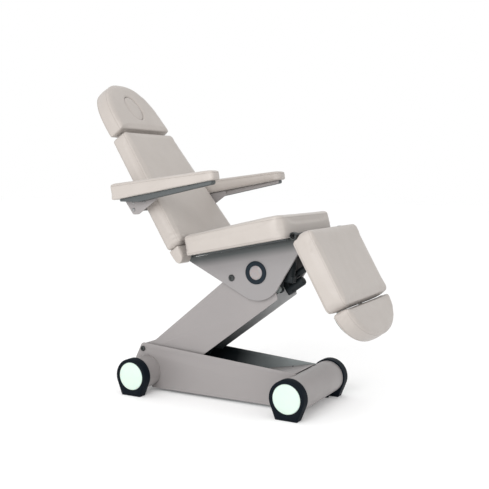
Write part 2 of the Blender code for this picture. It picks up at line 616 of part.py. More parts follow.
def foot_parts(foot):
    """A D-shaped pad on a carriage whose two rails slide behind the leg rest's board."""
    plan = d_outline(0.4125, 0.592, FOOT_HALF, 2.1, 24)
    bevel(extruded("foot_cushion", foot, plan, -0.0010, 0.0850, "upholstery", along="Z"), 0.014, 2)
    board = extruded("foot_carriage", foot, d_outline(0.424, 0.572, FOOT_HALF - 0.025, 2.1, 16),
                     -0.0120, -0.0015, "steel", along="Z")
    for y in (-0.160, 0.130):
        add(board, box("guide", foot, (0.170, 0.470), (y, y + 0.030), (-0.0330, -0.0204), "steel"))
        add(board, box("guide", foot, (0.430, 0.470), (y, y + 0.030), (-0.0250, -0.0060), "steel"))


# ---------------------------------------------------------------- assembly
def main():
    clear_scene()
    root = axis_empty("frame", ORIGIN_TO_WHEELBASE, 0.0, 0.0)

    reach = (TILT_AXIS[0] - ARM_PIVOT[0], TILT_AXIS[1] - ARM_PIVOT[1])
    arm_length = math.hypot(*reach)
    arm_angle = -math.degrees(math.atan2(reach[1], reach[0]))
    seat_at = (*TILT_AXIS, SEAT_ANGLE)
    back_at = (*place(seat_at, BACK_HINGE), BACK_ANGLE)
    head_at = (*place(back_at, HEAD_HINGE), BACK_ANGLE)
    leg_at = (*place(seat_at, LEG_HINGE), LEG_ANGLE)
    armrest_at = (*place(back_at, ARMREST_PIVOT), ARMREST_ANGLE)
    arm_at = (*ARM_PIVOT, arm_angle)
    carrier_at = (*TILT_AXIS, 0.0)
    link_at = (ARM_PIVOT[0] + LINK_OFFSET[0], ARM_PIVOT[1] + LINK_OFFSET[1], arm_angle)

    base_panels(root)
    base_covers(root)
    cross_tubes(root)
    feet(root)
    base_pins(root)
    lift_arm(axis_empty("lift_arm", *arm_at, parent=root), arm_length)
    levelling_rod(axis_empty("levelling_rod", *link_at, parent=root), arm_length)
    carrier_parts(axis_empty("carrier", *carrier_at, parent=root))

    seat = axis_empty("seat", *seat_at, parent=root)
    cheeks(seat)
    seat_frame(seat)
    seat_cushion(seat)
    back_parts(axis_empty("back", *back_at, parent=root))
    head_parts(axis_empty("head", *head_at, parent=root))
    for side, sign in (("right", -1), ("left", 1)):
        armrest_parts(axis_empty("armrest_" + side, *armrest_at, parent=root), side, sign)
    leg_parts(axis_empty("leg", *leg_at, parent=root))
    foot_parts(axis_empty("foot", *leg_at, parent=root))

    drives = (
        ("lift", LIFT_FOOT, place(arm_at, LIFT_HEAD), 0.372, 0.270, 0.0, 1, ARM_SHAFT, 0.0055),
        ("leg", place(seat_at, LEG_FOOT), place(leg_at, LEG_HEAD), 0.254, 0.102, 0.0, -1, PIN, 0.003),
        ("back", place(seat_at, BACK_FOOT), place(back_at, BACK_HEAD), 0.329, 0.239, BACK_DRIVE_Y, 1, PIN, 0.008),
        ("tilt", place(carrier_at, TILT_FOOT), place(seat_at, TILT_HEAD), 0.143, 0.112, TILT_DRIVE_Y, -1, PIN, 0.002),
    )
    for name, foot, head, mouth, tail, y, motor_side, pin, slack in drives:
        angle = -math.degrees(math.atan2(head[1] - foot[1], head[0] - foot[0]))
        drive = axis_empty(name + "_actuator", *foot, angle, parent=root)
        actuator(name, drive, math.dist(foot, head), mouth, tail, y, motor_side, pin, slack)


main()
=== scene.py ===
"""Looks for the facial treatment bed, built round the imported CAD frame.

Everything is in metres in the frame of the CAD model: +Z up, +X towards the foot end, patient's right at -Y.
Padded sections are modelled as they lie when the bed is flat, and then turned about their own hinges.
"""
import json
from math import acos, asin, atan2, copysign, cos, hypot, pi, radians, sin

import bmesh
import bpy
import numpy as np
from mathutils import Matrix, Vector, noise
from mathutils.bvhtree import BVHTree

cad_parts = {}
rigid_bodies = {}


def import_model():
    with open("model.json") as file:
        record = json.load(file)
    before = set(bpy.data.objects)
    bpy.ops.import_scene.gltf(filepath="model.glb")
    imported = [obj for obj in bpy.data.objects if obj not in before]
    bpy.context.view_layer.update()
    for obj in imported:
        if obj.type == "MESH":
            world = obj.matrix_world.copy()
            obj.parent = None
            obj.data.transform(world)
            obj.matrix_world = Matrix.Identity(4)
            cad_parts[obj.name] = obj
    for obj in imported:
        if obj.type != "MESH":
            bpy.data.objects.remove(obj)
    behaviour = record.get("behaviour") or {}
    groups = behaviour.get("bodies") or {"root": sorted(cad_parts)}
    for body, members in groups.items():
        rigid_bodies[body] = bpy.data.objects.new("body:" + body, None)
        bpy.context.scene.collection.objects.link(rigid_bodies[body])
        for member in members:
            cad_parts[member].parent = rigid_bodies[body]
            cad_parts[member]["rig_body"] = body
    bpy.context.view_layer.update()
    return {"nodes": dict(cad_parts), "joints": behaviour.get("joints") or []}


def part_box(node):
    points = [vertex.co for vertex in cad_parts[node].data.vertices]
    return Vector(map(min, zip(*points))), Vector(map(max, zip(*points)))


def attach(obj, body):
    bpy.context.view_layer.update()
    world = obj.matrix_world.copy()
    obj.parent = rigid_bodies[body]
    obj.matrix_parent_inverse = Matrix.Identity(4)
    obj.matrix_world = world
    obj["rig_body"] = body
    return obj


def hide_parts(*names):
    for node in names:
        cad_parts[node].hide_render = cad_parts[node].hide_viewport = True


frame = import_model()
NODES = frame["nodes"]
JOINTS = {joint["name"]: joint for joint in frame["joints"]}
SCENE = bpy.context.scene

# ---- camera
CAMERA_AT = (2.0655, -3.6384, 1.1677)
CAMERA_YAW = 28.942  # degrees round from -Y towards +X
CAMERA_PITCH = 4.829  # degrees down
CAMERA_LENS = 58.39  # mm on a 36 mm sensor


def make_camera():
    data = bpy.data.cameras.new("camera")
    data.lens = CAMERA_LENS
    data.sensor_width = 36.0
    camera = bpy.data.objects.new("camera", data)
    SCENE.collection.objects.link(camera)
    a, e = radians(CAMERA_YAW), radians(CAMERA_PITCH)
    back = Vector((sin(a) * cos(e), -cos(a) * cos(e), sin(e)))
    camera.location = CAMERA_AT
    camera.rotation_mode = "QUATERNION"
    camera.rotation_quaternion = (-back).to_track_quat("-Z", "Y")
    SCENE.camera = camera


# ---- sections of the bed
# the joint that each section turns on, and the section's own angle at rest, about +Y in degrees
REST_ANGLES = {
    "seat": ("seat_tilt", -11.2),
    "back": ("back_hinge", 54.7),
    "head": ("head_hinge", 54.7),
    "leg": ("leg_hinge", 61.0),
    "foot": ("leg_hinge", 61.0),
    "armrest": ("armrest_right_hinge", -8.5),
}


def section(name):
    """From a section's own flat frame to the world."""
    joint, angle = REST_ANGLES[name]
    return Matrix.Translation(JOINTS[joint]["pos_m"]) @ Matrix.Rotation(radians(angle), 4, "Y")


def pivot(joint):
    """Where a joint turns, in the world."""
    return Vector(JOINTS[joint]["pos_m"])


# ---- outlines
def rounded(corners, steps=6):
    """An outline with each corner (x, y, radius) replaced by an arc."""
    outline = []
    count = len(corners)
    for i, (x, y, radius) in enumerate(corners):
        if radius <= 0:
            outline.append((x, y))
            continue
        ax, ay, _ = corners[i - 1]
        bx, by, _ = corners[(i + 1) % count]
        to_a = atan2(ay - y, ax - x)
        to_b = atan2(by - y, bx - x)
        opening = (to_b - to_a + pi) % (2 * pi) - pi
        middle = to_a + opening / 2
        reach = radius / sin(abs(opening) / 2)
        centre = (x + reach * cos(middle), y + reach * sin(middle))
        sweep = pi - abs(opening)
        side = -1 if opening > 0 else 1
        for k in range(steps + 1):
            a = middle + pi - side * sweep / 2 + side * sweep * k / steps
            outline.append((centre[0] + radius * cos(a), centre[1] + radius * sin(a)))
    return outline


def d_outline(flat_x, tip_x, half_width, power, steps):
    """A D in plan: straight at flat_x, with a rounded end that reaches tip_x."""
    points = []
    for i in range(steps + 1):
        a = pi * i / steps
        c, s = cos(a), sin(a)
        across = copysign(abs(c) ** (2 / power), c)
        points.append((flat_x + (tip_x - flat_x) * abs(s) ** (2 / power), half_width * across))
    return points


def ellipse(centre, half_x, half_y, steps):
    return [(centre[0] + half_x * cos(2 * pi * i / steps),
             centre[1] + half_y * sin(2 * pi * i / steps)) for i in range(steps)]


def arc(centre, half_x, half_y, degrees):
    """The points of an ellipse at the given angles."""
    angles = [radians(t) for t in degrees]
    return [(centre[0] + half_x * cos(a), centre[1] + half_y * sin(a)) for a in angles]


def resampled(outline, step):
    """Points every step or so along a closed outline."""
    points = []
    for (ax, ay), (bx, by) in zip(outline, outline[1:] + outline[:1]):
        length = hypot(bx - ax, by - ay)
        count = max(1, round(length / step))
        points += [(ax + (bx - ax) * k / count, ay + (by - ay) * k / count) for k in range(count)]
    return points


# ---- mesh helpers
def finished(name, bm, material, matrix=None, smooth=35):
    """A mesh object from a bmesh, in the world's frame."""
    bmesh.ops.recalc_face_normals(bm, faces=bm.faces)
    if matrix is not None:
        bm.transform(matrix)
    mesh = bpy.data.meshes.new(name)
    bm.to_mesh(mesh)
    bm.free()
    mesh.shade_smooth()
    if smooth:
        mesh.set_sharp_from_angle(angle=radians(smooth))
    item = bpy.data.objects.new(name, mesh)
    item.data.materials.append(material)
    SCENE.collection.objects.link(item)
    return item


def bridge(bm, rings):
    """Faces from each ring of points to the next."""
    for lower, upper in zip(rings, rings[1:]):
        for i in range(len(lower)):
            j = (i + 1) % len(lower)
            bm.faces.new((lower[i], lower[j], upper[j], upper[i]))


def prism(outline, low, high, along="Y"):
    """An outline in the XZ plane drawn out along Y, or one in the XY plane drawn out along Z."""
    bm = bmesh.new()

    def ring(level):
        if along == "Y":
            return [bm.verts.new((p, level, q)) for p, q in outline]
        return [bm.verts.new((p, q, level)) for p, q in outline]

    first, second = ring(low), ring(high)
    bm.faces.new(first)
    bm.faces.new(list(reversed(second)))
    bridge(bm, [first, second])
    return bm


def lathe(profile, centre=(0.0, 0.0), sides=96, sign=1):
    """A profile of (radius, distance) turned about an axis along Y, which passes through centre, as (x, z).

    It is closed into a ring unless both its ends are at radius 0. A sign of -1 mirrors it."""
    bm = bmesh.new()
    solid = profile[0][0] == 0 and profile[-1][0] == 0

    def at(radius, distance, i):
        a = 2 * pi * (i + 0.5) / sides
        return (centre[0] + radius * cos(a), sign * distance, centre[1] + radius * sin(a))

    rings = []
    for radius, distance in profile:
        rings.append([bm.verts.new(at(radius, distance, i)) for i in range(sides if radius else 1)])
    pairs = list(zip(rings, rings[1:]))
    if not solid:
        pairs.append((rings[-1], rings[0]))
    for lower, upper in pairs:
        for i in range(sides):
            j = (i + 1) % sides
            corners = [lower[i % len(lower)], lower[j % len(lower)],
                       upper[j % len(upper)], upper[i % len(upper)]]
            bm.faces.new(list(dict.fromkeys(corners)))
    return bm


def hexagon_radius(angle, across):
    """Distance from the centre to the side of a hexagon, whose half width across its flats is given."""
    sixth = pi / 3
    return across / cos((angle + sixth / 2) % sixth - sixth / 2)


def screw_head(bm, matrix, radius, height, socket):
    """A cap screw's head with a hexagon socket, standing on the XY plane of the matrix."""
    sides = 36
    chamfer = 0.18 * radius
    floor = 0.45 * height
    levels = [(radius, 0.0, False), (radius, height - chamfer, False), (radius - chamfer, height, False),
              (socket, height, True), (socket * 0.96, floor, True)]
    rings = []
    for size, level, hexagonal in levels:
        ring = []
        for i in range(sides):
            a = 2 * pi * i / sides
            r = hexagon_radius(a, size) if hexagonal else size
            ring.append(bm.verts.new(matrix @ Vector((r * cos(a), r * sin(a), level))))
        rings.append(ring)
    bridge(bm, rings)
    bm.faces.new(rings[-1])
    bm.faces.new(list(reversed(rings[0])))
    return bm


def facing(point, normal):
    """A matrix at a point with its Z along a normal."""
    return Matrix.Translation(point) @ Vector(normal).to_track_quat("Z", "Y").to_matrix().to_4x4()


def apply_modifiers(item):
    """Bakes an object's modifiers into its mesh."""
    graph = bpy.context.evaluated_depsgraph_get()
    mesh = bpy.data.meshes.new_from_object(item.evaluated_get(graph))
    item.modifiers.clear()
    item.data = mesh


def add_bevel(item, width, segments, angle):
    """Will round the edges between faces that meet at more than angle degrees."""
    modifier = item.modifiers.new("edge", "BEVEL")
    modifier.width = width
    modifier.segments = segments
    modifier.limit_method = "ANGLE"
    modifier.angle_limit = radians(angle)


def add_boolean(item, operation, guide):
    modifier = item.modifiers.new("cut", "BOOLEAN")
    modifier.operation = operation
    modifier.solver = "EXACT"
    modifier.object = guide


def bevelled(item, width, segments=3):
    """Rounds an object's edges at once."""
    add_bevel(item, width, segments, 30)
    apply_modifiers(item)
    item.data.shade_smooth()
    item.data.set_sharp_from_angle(angle=radians(40))
    return item


def refined(node, material, width=0.0012, segments=3):
    """A CAD node with its facets merged and its edges rounded, in place of the node."""
    bm = bmesh.new()
    bm.from_mesh(NODES[node].data)
    bmesh.ops.remove_doubles(bm, verts=bm.verts, dist=2e-5)
    bmesh.ops.dissolve_limit(bm, angle_limit=radians(0.6), verts=bm.verts, edges=bm.edges)
    item = finished(node + "_finished", bm, material)
    bevelled(item, width, segments)
    return placed(item, NODES[node]["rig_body"], node)


def placed(item, body, *nodes, slot=None):
    """Makes an object ride on a body, in place of the given nodes; slot is not used."""
    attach(item, body)
    if nodes:
        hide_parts(*nodes)
    return item


# ---- materials
class Graph:
    """A short hand for building a material's nodes."""

    def __init__(self, name):
        self.material = bpy.data.materials.new(name)
        self.material.use_nodes = True
        self.tree = self.material.node_tree
        self.shader = self.tree.nodes["Principled BSDF"]
        self.coords = self.tree.nodes.new("ShaderNodeTexCoord").outputs["Object"]

    def node(self, kind, inputs=None, **settings):
        node = self.tree.nodes.new("ShaderNode" + kind)
        for key, value in settings.items():
            setattr(node, key, value)
        for key, value in (inputs or {}).items():
            self.feed(node.inputs[key], value)
        return node

    def feed(self, socket, value):
        if isinstance(value, bpy.types.NodeSocket):
            self.tree.links.new(value, socket)
        else:
            socket.default_value = (*value, 1.0) if socket.type == "RGBA" else value

    def split(self, vector, axis):
        return self.node("SeparateXYZ", {0: vector}).outputs[axis]

    def noise(self, scale, detail=2.0, roughness=0.5, vector=None, distortion=0.0):
        return self.node("TexNoise", {"Vector": vector or self.coords, "Scale": scale, "Detail": detail,
                                      "Roughness": roughness, "Distortion": distortion}).outputs["Fac"]

    def stretched(self, scale):
        return self.node("Mapping", {"Vector": self.coords, "Scale": scale}).outputs["Vector"]

    def spread(self, value, low, high, start=0.0, end=1.0):
        """Maps a value from low..high to start..end."""
        return self.node("MapRange", {"Value": value, "From Min": low, "From Max": high,
                                      "To Min": start, "To Max": end}).outputs["Result"]

    def maths(self, operation, a, b):
        return self.node("Math", {0: a, 1: b}, operation=operation).outputs[0]

    def blend(self, factor, first, second):
        return self.node("Mix", {0: factor, 6: first, 7: second}, data_type="RGBA").outputs[2]

    def bump(self, height, strength, distance, normal=None):
        inputs = {"Height": height, "Strength": strength, "Distance": distance}
        if normal is not None:
            inputs["Normal"] = normal
        return self.node("Bump", inputs).outputs["Normal"]

    def set(self, **inputs):
        for key, value in inputs.items():
            self.feed(self.shader.inputs[key.replace("_", " ")], value)

    def edge_wear(self):
        """Lighter along sharp convex edges, where hands and cleaning rub."""
        pointed = self.node("NewGeometry").outputs["Pointiness"]
        return self.spread(pointed, 0.52, 0.60)

    def orange_peel(self):
        """The fine waves of sprayed paint."""
        return self.bump(self.noise(950.0, 2.0), 0.14, 0.00018)


def scaled(colour, factor):
    return tuple(factor * c for c in colour)


def leatherette(name, colour, shade):
    """Grained artificial leather: fine cells and pores, faint creases and slightly uneven colour."""
    g = Graph(name)
    patches = g.spread(g.noise(5.0, 3.0), 0.35, 0.65)
    grain_cells = g.node("TexVoronoi", {"Vector": g.coords, "Scale": 820.0, "Randomness": 1.0},
                         feature="SMOOTH_F1").outputs["Distance"]
    pores = g.noise(2400.0, 2.0)
    creases = g.spread(g.noise(55.0, 4.0, 0.62, distortion=0.6), 0.46, 0.54)
    tone = g.blend(patches, shade, colour)
    tone = g.blend(g.spread(grain_cells, 0.0, 0.9, 0.10, 0.0), tone, scaled(colour, 0.72))
    rough = g.spread(g.noise(16.0, 3.0), 0.3, 0.7, 0.42, 0.54)
    normal = g.bump(creases, 0.10, 0.0008)
    normal = g.bump(grain_cells, 0.32, 0.00032, normal)
    normal = g.bump(pores, 0.12, 0.00010, normal)
    g.set(Base_Color=tone, Roughness=rough, Normal=normal, Specular_IOR_Level=0.42, Sheen_Weight=0.12,
          Sheen_Roughness=0.5, Coat_Weight=0.06, Coat_Roughness=0.35)
    return g.material


def painted(name, colour, rough=0.42):
    """Powder coat, with a fine orange peel, specks, and lighter edges."""
    g = Graph(name)
    cloud = g.spread(g.noise(3.0, 4.0), 0.3, 0.7)
    specks = g.spread(g.noise(380.0, 1.0), 0.60, 0.78)
    tone = g.blend(cloud, scaled(colour, 0.95), colour)
    tone = g.blend(g.maths("MULTIPLY", specks, 0.20), tone, scaled(colour, 1.18))
    tone = g.blend(g.maths("MULTIPLY", g.edge_wear(), 0.30), tone, scaled(colour, 1.35))
    roughness = g.spread(g.noise(9.0, 4.0), 0.3, 0.7, rough - 0.05, rough + 0.07)
    g.set(Base_Color=tone, Roughness=roughness, Normal=g.orange_peel(), Specular_IOR_Level=0.5)
    return g.material


def moulded(name, colour, rough, texture, lift, shine):
    """Moulded plastic with a stippled skin; its edges are lift times as light as the rest."""
    g = Graph(name)
    cloud = g.spread(g.noise(14.0, 3.0), 0.3, 0.7)
    stipple = g.noise(1500.0, 2.0)
    scuffs = g.spread(g.noise(70.0, 5.0, 0.7, g.stretched((1.0, 1.0, 5.0))), 0.60, 0.72)
    tone = g.blend(cloud, scaled(colour, 0.82), colour)
    tone = g.blend(g.maths("MULTIPLY", g.edge_wear(), 0.5), tone, scaled(colour, lift))
    roughness = g.maths("ADD", g.spread(cloud, 0.0, 1.0, rough - 0.05, rough + 0.05),
                        g.maths("MULTIPLY", scuffs, 0.12))
    g.set(Base_Color=tone, Roughness=roughness, Normal=g.bump(stipple, texture, 0.00015),
          Specular_IOR_Level=shine)
    return g.material


def brushed(name, colour, rough):
    """Bare or blackened steel, with fine drawn lines and stains."""
    g = Graph(name)
    lines = g.noise(14.0, 4.0, 0.6, g.stretched((2.0, 2.0, 160.0)))
    stains = g.spread(g.noise(18.0, 4.0), 0.35, 0.65)
    tone = g.blend(stains, scaled(colour, 0.78), colour)
    roughness = g.spread(lines, 0.3, 0.7, rough - 0.06, rough + 0.12)
    g.set(Base_Color=tone, Metallic=1.0, Roughness=roughness, Normal=g.bump(lines, 0.10, 0.0002))
    return g.material


def glowing_cap(name, colour, strength, rough):
    """A milky translucent cap, which glows with painted light when its strength isn't 0."""
    g = Graph(name)
    frost = g.noise(700.0, 2.0)
    cloud = g.spread(g.noise(10.0, 2.0), 0.3, 0.7)
    tone = g.blend(cloud, scaled(colour, 0.97), colour)
    # any emission strength paints a glow on the cap
    g.set(Base_Color=tone, Roughness=rough, Normal=g.bump(frost, 0.05, 0.0001), Emission_Color=tone,
          Emission_Strength=strength, Subsurface_Weight=0.15, Subsurface_Scale=0.004)
    return g.material


def plywood(name):
    """Stained plywood, with the veneer's rings and fibres."""
    g = Graph(name)
    rings = g.noise(9.0, 6.0, 0.6, g.stretched((1.0, 9.0, 1.0)), 1.2)
    fibres = g.noise(60.0, 4.0, 0.6, g.stretched((1.0, 14.0, 1.0)))
    tone = g.blend(g.spread(rings, 0.35, 0.65), (0.255, 0.225, 0.200), (0.315, 0.280, 0.250))
    tone = g.blend(g.spread(fibres, 0.45, 0.75, 0.0, 0.35), tone, (0.190, 0.165, 0.145))
    g.set(Base_Color=tone, Roughness=g.spread(fibres, 0.3, 0.7, 0.55, 0.75),
          Normal=g.bump(fibres, 0.25, 0.0004))
    return g.material


def thread(name, colour):
    """Twisted sewing thread."""
    g = Graph(name)
    twist = g.node("TexWave", {"Vector": g.coords, "Scale": 900.0, "Distortion": 1.0}).outputs["Fac"]
    g.set(Base_Color=g.blend(g.spread(twist, 0.2, 0.8, 0.0, 0.5), colour, scaled(colour, 0.7)),
          Roughness=0.75, Normal=g.bump(twist, 0.4, 0.0002))
    return g.material


def shaded_inside(name, colour, dark, axis, low, high):
    """Painted shade inside a channel: full colour at its open end, darkening to the dark colour at the
    other.
    """
    g = Graph(name)
    place = g.spread(g.split(g.coords, axis), low, high)
    lit_amount = g.maths("ADD", place, g.spread(g.noise(6.0, 4.0), 0.3, 0.7, -0.10, 0.10))
    # painted shade: the dark colour at the low end of the axis, the given colour at the high end, with a
    # little noise
    tone = g.blend(g.maths("MINIMUM", g.maths("MAXIMUM", lit_amount, 0.0), 1.0), dark, colour)
    g.set(Base_Color=tone, Roughness=0.6, Normal=g.orange_peel(), Specular_IOR_Level=0.3)
    return g.material


def cheek_paint_and_shadow(name, colour, dark):
    """Paint with the seat's shadow painted on: darker in the narrow space right under the seat."""
    g = Graph(name)
    tilt = radians(REST_ANGLES["seat"][1])
    local = g.node("Mapping", {"Vector": g.coords, "Location": pivot("seat_tilt"),
                               "Rotation": (0.0, tilt, 0.0)}, vector_type="TEXTURE")
    # painted shadow of the seat, strongest just under it
    shade = g.spread(g.split(local.outputs["Vector"], "Z"), 0.066, 0.112)
    cloud = g.blend(g.spread(g.noise(3.0, 4.0), 0.3, 0.7), scaled(colour, 0.96), colour)
    g.set(Base_Color=g.blend(g.maths("POWER", shade, 1.2), cloud, dark), Roughness=0.44,
          Normal=g.orange_peel())
    return g.material


MAT = {
    "cream": leatherette("cream_leatherette", (0.418, 0.382, 0.354), (0.398, 0.362, 0.334)),
    "thread": thread("cream_thread", (0.40, 0.365, 0.335)),
    "seam": leatherette("seam_fold", (0.300, 0.268, 0.244), (0.28, 0.25, 0.225)),
    "paint": painted("grey_paint", (0.268, 0.250, 0.247)),
    # painted light and shade inside the arm: lighter than the outside paint near its top, dark towards the
    # base; inside the base, painted shade darkens towards the rear
    "arm_inside": shaded_inside("arm_inside_painted_shade", (0.560, 0.560, 0.565), (0.012, 0.022, 0.026),
                                "Z", 0.20, 0.56),
    "panel_inside": shaded_inside("panel_inside_painted_shade", (0.240, 0.262, 0.262), (0.003, 0.006, 0.008),
                                  "X", -0.08, 0.28),
    # the cheeks' paint, with the seat's shadow painted on just under the seat
    "cheek": cheek_paint_and_shadow("cheek_paint_and_shadow", (0.256, 0.243, 0.243), (0.080, 0.088, 0.088)),
    # dark paint as painted shade, for the armrest channels under their pads and the seat frame under the
    # seat
    "tray": painted("dark_painted_shade", (0.066, 0.074, 0.076), 0.55),
    "bracket": painted("bracket_paint", (0.200, 0.222, 0.214), 0.45),
    "rubber": moulded("dark_foot_plastic", (0.0026, 0.0050, 0.0085), 0.65, 0.15, 2.0, 0.10),
    "navy": moulded("badge_navy", (0.009, 0.016, 0.023), 0.45, 0.08, 1.6, 0.15),
    "motor": moulded("motor_housing", (0.0085, 0.0120, 0.0140), 0.50, 0.35, 3.0, 0.25),
    "steel": brushed("zinc_steel", (0.42, 0.42, 0.42), 0.34),
    "dark_steel": brushed("blackened_steel", (0.075, 0.080, 0.080), 0.42),
    "chrome": brushed("ground_rod", (0.55, 0.55, 0.56), 0.16),
    # the lens's emission is painted light, a glow that brightens it
    "lens": glowing_cap("mint_lens", (0.435, 0.520, 0.465), 0.50, 0.5),
    "badge": glowing_cap("badge_centre", (0.300, 0.272, 0.270), 0.0, 0.35),
    "board": plywood("stained_plywood"),
}


# ---- padding
VOXEL = 0.005  # size of the cloth's squares before it is made finer
FRAMES = 20  # of simulation
CLOTH = {
    "quality": 3,
    "mass": 0.3,
    "tension_stiffness": 12.0,
    "compression_stiffness": 12.0,
    "shear_stiffness": 5.0,
    "bending_stiffness": 0.6,
    "use_pressure": True,
    "uniform_pressure_force": 4.0,
    "vertex_group_mass": "held",
}
FOAM_CUT = 0.3  # how far cutting shapes reach past the padding
HEM = 0.0042  # depth to which the cover is rolled in round a hole
HEM_WIDTH = 0.0045
HELD = 0.004  # how much of a pad's foot its board holds
SEAM_STEP = 0.0052  # distance between the stitches
CORD = 0.0007  # radius of the cord in a seam
STITCH = 0.0006  # radius of a stitch
STITCH_GAP = 0.0042  # and how far it is above its seam
PADS = []


def pad(name, shapes, within, body, nodes, box, held, cap=0.0045, edge=0.0065, voxel=VOXEL, fill=0.7):
    """Registers a padded piece, which lies flat in the frame of a section and is smaller than it will be.

    The first of shapes is cut down to each bmesh that follows it, or combined with it as (operation, bmesh).
    box is what the filled pad measures, as (low, high) corners. held is true for the points that the board
    holds, cap is how far a point may move, and edge is the width of the first bevel."""
    item = finished(name, shapes[0], MAT["cream"], smooth=0)
    guides = []
    for shape in shapes[1:]:
        operation, bm = shape if isinstance(shape, tuple) else ("INTERSECT", shape)
        guide = finished(name + "_guide", bm, MAT["cream"], smooth=0)
        guides.append(guide)
        add_boolean(item, operation, guide)
    add_bevel(item, edge, 3, 40)
    remesh = item.modifiers.new("voxels", "REMESH")
    remesh.mode = "VOXEL"
    remesh.voxel_size = voxel
    apply_modifiers(item)
    for guide in guides:
        bpy.data.objects.remove(guide, do_unlink=True)
    relax(item, 2)
    PADS.append({"item": item, "place": section(within), "body": body, "nodes": nodes, "box": box,
                 "held": held, "cap": cap, "fill": fill, "seams": [], "folds": [], "hole": None})
    return PADS[-1]


def points(item):
    """A mesh's points, as an array with a row for each."""
    co = np.empty(len(item.data.vertices) * 3)
    item.data.vertices.foreach_get("co", co)
    return co.reshape(-1, 3)


def normals(item):
    normal = np.empty(len(item.data.vertices) * 3)
    item.data.vertex_normals.foreach_get("vector", normal)
    return normal.reshape(-1, 3)


def set_points(item, co):
    item.data.vertices.foreach_set("co", co.ravel())
    item.data.update()


def relax(item, rounds):
    """Evens out a mesh by moving each point towards the middle of its neighbours."""
    bm = bmesh.new()
    bm.from_mesh(item.data)
    for _ in range(rounds):
        bmesh.ops.smooth_vert(bm, verts=bm.verts, factor=0.5, use_axis_x=True, use_axis_y=True,
                              use_axis_z=True)
    bm.to_mesh(item.data)
    bm.free()


def fit(item, box):
    """Stretches a pad a little, so that it measures exactly what its box says."""
    co = points(item)
    low, high = co.min(axis=0), co.max(axis=0)
    target_low, target_high = np.array(box[0]), np.array(box[1])
    set_points(item, target_low + (co - low) * (target_high - target_low) / (high - low))


def inflate_pads():
    """Fills every pad at once with cloth pressure, then keeps each point within its cap."""
    for p in PADS:
        item = p["item"]
        group = item.vertex_groups.new(name="held")
        group.add([v.index for v in item.data.vertices if p["held"](v.co)], 1.0, "REPLACE")
        p["start"] = points(item)
        cloth = item.modifiers.new("Cloth", "CLOTH")
        for key, value in CLOTH.items():
            setattr(cloth.settings, key, value)
        cloth.settings.effector_weights.gravity = 0.0
        cloth.point_cache.frame_start = 1
        cloth.point_cache.frame_end = FRAMES
    for number in range(1, FRAMES + 1):
        SCENE.frame_set(number)
    for p in PADS:
        item = p["item"]
        graph = bpy.context.evaluated_depsgraph_get()
        move = points(item.evaluated_get(graph)) - p["start"]
        item.modifiers.clear()
        length = np.linalg.norm(move, axis=1)
        move *= np.minimum(1.0, p["cap"] / np.maximum(length, 1e-9))[:, None]
        set_points(item, p["start"] + move)
        item.vertex_groups.clear()
        relax(item, 2)
        fit(item, p["box"])
    SCENE.frame_set(1)


def fold(p, at, reach, across, wavelength, depth):
    """A few soft wrinkles round a point, at right angles to across, and the same on the other side."""
    for side in (np.array((1.0, -1.0, 1.0)), np.array((1.0, 1.0, 1.0))):
        direction = np.array(Vector(side * across).normalized())
        p["folds"].append((side * at, reach, direction, wavelength, depth))


def crease(item, at, reach, across, wavelength, depth):
    """Waves a pad's surface round a point, for fold."""
    co, normal = points(item), normals(item)
    off = co - at
    along = off @ across
    near = np.exp(-(np.linalg.norm(off, axis=1) / reach) ** 2)
    wander = np.array([noise.noise(Vector(c) * 18.0) for c in co]) * 1.6
    wave = np.sin(2 * pi * along / wavelength + wander)
    set_points(item, co + normal * (depth * near * wave)[:, None])


def cut_hole(item, hole):
    """Opens a pad right through, with the cover rolled in round the opening."""
    centre, half_x, half_y = hole
    co = points(item)
    reach = np.hypot((co[:, 0] - centre[0]) / half_x, (co[:, 1] - centre[1]) / half_y)
    off = (reach - 1.0) * 0.5 * (half_x + half_y)
    upper = co[:, 2] > 0.5 * (co[:, 2].max() + co[:, 2].min())
    co[:, 2] -= np.where(upper, HEM * np.exp(-(off / HEM_WIDTH) ** 2), 0.0)
    set_points(item, co)
    cutter = prism(ellipse(centre, half_x, half_y, 96), -FOAM_CUT, FOAM_CUT, "Z")
    guide = finished(item.name + "_guide", cutter, MAT["cream"])
    add_boolean(item, "DIFFERENCE", guide)
    apply_modifiers(item)
    bpy.data.objects.remove(guide, do_unlink=True)


def finish_pads():
    """Makes each filled pad finer, sews its seams, and puts it in its place on its body."""
    for p in PADS:
        item = p["item"]
        modifier = item.modifiers.new("fine", "SUBSURF")
        modifier.levels = modifier.render_levels = 1
        apply_modifiers(item)
        fit(item, p["box"])
        for groove in p["seams"]:
            press_seam(item, groove)
        for wrinkles in p["folds"]:
            crease(item, *wrinkles)
        trims = [trim for groove in p["seams"] for trim in sew(item, groove) if trim]
        if p["hole"]:
            cut_hole(item, p["hole"])
        item.data.shade_smooth()
        for extra in [item] + trims:
            extra.data.transform(p["place"])
            extra.data.update()
            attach(extra, p["body"])
        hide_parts(*p["nodes"])


def seam(p, name, outline, level, depth, width=0.0036, stitches=False):
    """A sewn seam round a pad: its outline in plan and the level at which it runs.

    level is a number, or a function of the outline's point."""
    p["seams"].append({"name": name, "outline": resampled(outline, SEAM_STEP), "level": level,
                       "depth": depth, "width": width, "stitches": stitches})


def seam_level(groove, point):
    level = groove["level"]
    return level(point) if callable(level) else level


def press_seam(item, groove):
    """Pulls the cover in along a seam."""
    co, normal = points(item), normals(item)
    off = co[:, 2] - np.array([seam_level(groove, point) for point in co[:, :2]])
    on_side = np.hypot(normal[:, 0], normal[:, 1])
    pull = groove["depth"] * np.exp(-(off / groove["width"]) ** 2) * np.clip((on_side - 0.3) / 0.3, 0.0, 1.0)
    set_points(item, co - normal * pull[:, None])


